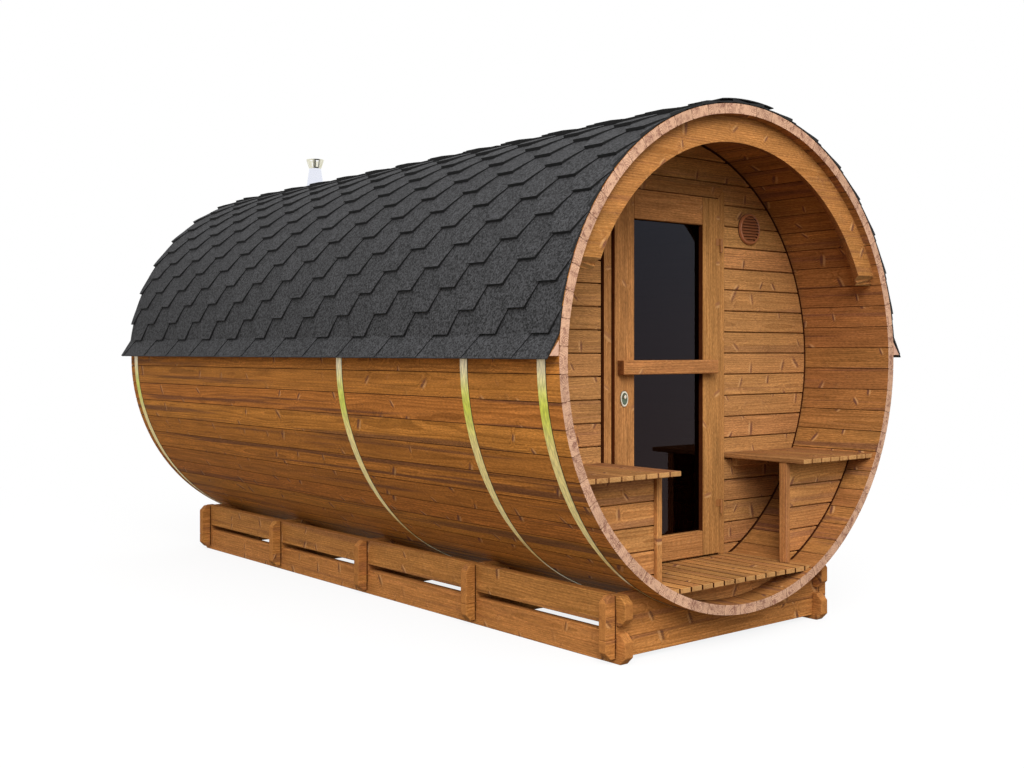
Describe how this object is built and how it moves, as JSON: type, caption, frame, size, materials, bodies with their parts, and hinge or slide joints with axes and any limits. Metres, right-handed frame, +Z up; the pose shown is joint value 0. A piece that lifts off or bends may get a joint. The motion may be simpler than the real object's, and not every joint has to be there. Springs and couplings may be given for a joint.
{
  "type": "barrel sauna",
  "caption": "Lying stave barrel cabin with an open porch, a hinged glazed door, slatted benches, a shingled upper half and a steel chimney, on a lapped timber base.",
  "frame": {"origin": "on the ground, under the middle of the barrel", "axes": "+X to the right of someone facing the door, +Y from the front rim to the back, +Z up"},
  "size_m": [2.279, 4, 2.4948],
  "materials": {
    "barrel_staves": "planed heat-treated softwood, warm brown with darker joints and knots",
    "wall_boards": "planed heat-treated softwood boards with open joints",
    "door_timber": "planed heat-treated softwood, satin oil",
    "porch_timber": "planed heat-treated softwood, satin oil",
    "base_timber": "planed softwood, oiled brown",
    "hoop_steel": "flat band, yellow passivated, slightly shiny",
    "shingles": "dark grey mineral granules on bitumen, matt",
    "tinted_glass": "dark tinted toughened glass, glossy",
    "lock_steel": "satin nickel",
    "hinge_steel": "steel stove-enamelled brown",
    "chimney_steel": "bright stainless sheet",
    "vent_plastic": "moulded brown plastic"
  },
  "bodies": {
    "sauna": {"bench_ledgers": "porch_timber", "bench_panel_left": "porch_timber", "bench_panel_right": "porch_timber", "bench_posts": "porch_timber", "bench_slats_left": "porch_timber", "bench_slats_right": "porch_timber", "cabin_floor": "porch_timber", "chimney_crown": "chimney_steel", "chimney_flashing": "chimney_steel", "chimney_flue": "chimney_steel", "cradle_beams": "base_timber", "door_head": "door_timber", "door_jamb_left": "door_timber", "door_jamb_right": "door_timber", "eaves_battens": "porch_timber", "floor_joists": "porch_timber", "frame_hinge_pins": "hinge_steel", "front_visor": "porch_timber", "front_wall_bottom": "wall_boards", "front_wall_left": "wall_boards", "front_wall_right": "wall_boards", "front_wall_top": "wall_boards", "hoops": "hoop_steel", "lower_crossbeams": "base_timber", "lower_rails": "base_timber", "porch_floor": "porch_timber", "rear_wall": "wall_boards", "ridge_cap": "shingles", "roof_left": "shingles", "roof_right": "shingles", "shell_segment_1": "barrel_staves", "shell_segment_2": "barrel_staves", "shell_segment_3": "barrel_staves", "shell_segment_4": "barrel_staves", "shell_segment_5": "barrel_staves", "shell_segment_6": "barrel_staves", "shell_segment_7": "barrel_staves", "shell_segment_8": "barrel_staves", "upper_rails": "base_timber", "vent_cover": "vent_plastic"},
    "door": {"door_stiles": "door_timber", "door_rails": "door_timber", "door_glass": "tinted_glass", "door_pull": "door_timber", "door_lock": "lock_steel", "door_hinge_leaves": "hinge_steel"}
  },
  "joints": [
    {"name": "door_hinge", "type": "hinge", "parent": "sauna", "child": "door", "pos_m": [0.3475, -1.5513, 1.2], "axis": [0, 0, 1], "range_deg": [0, 90]}
  ]
}
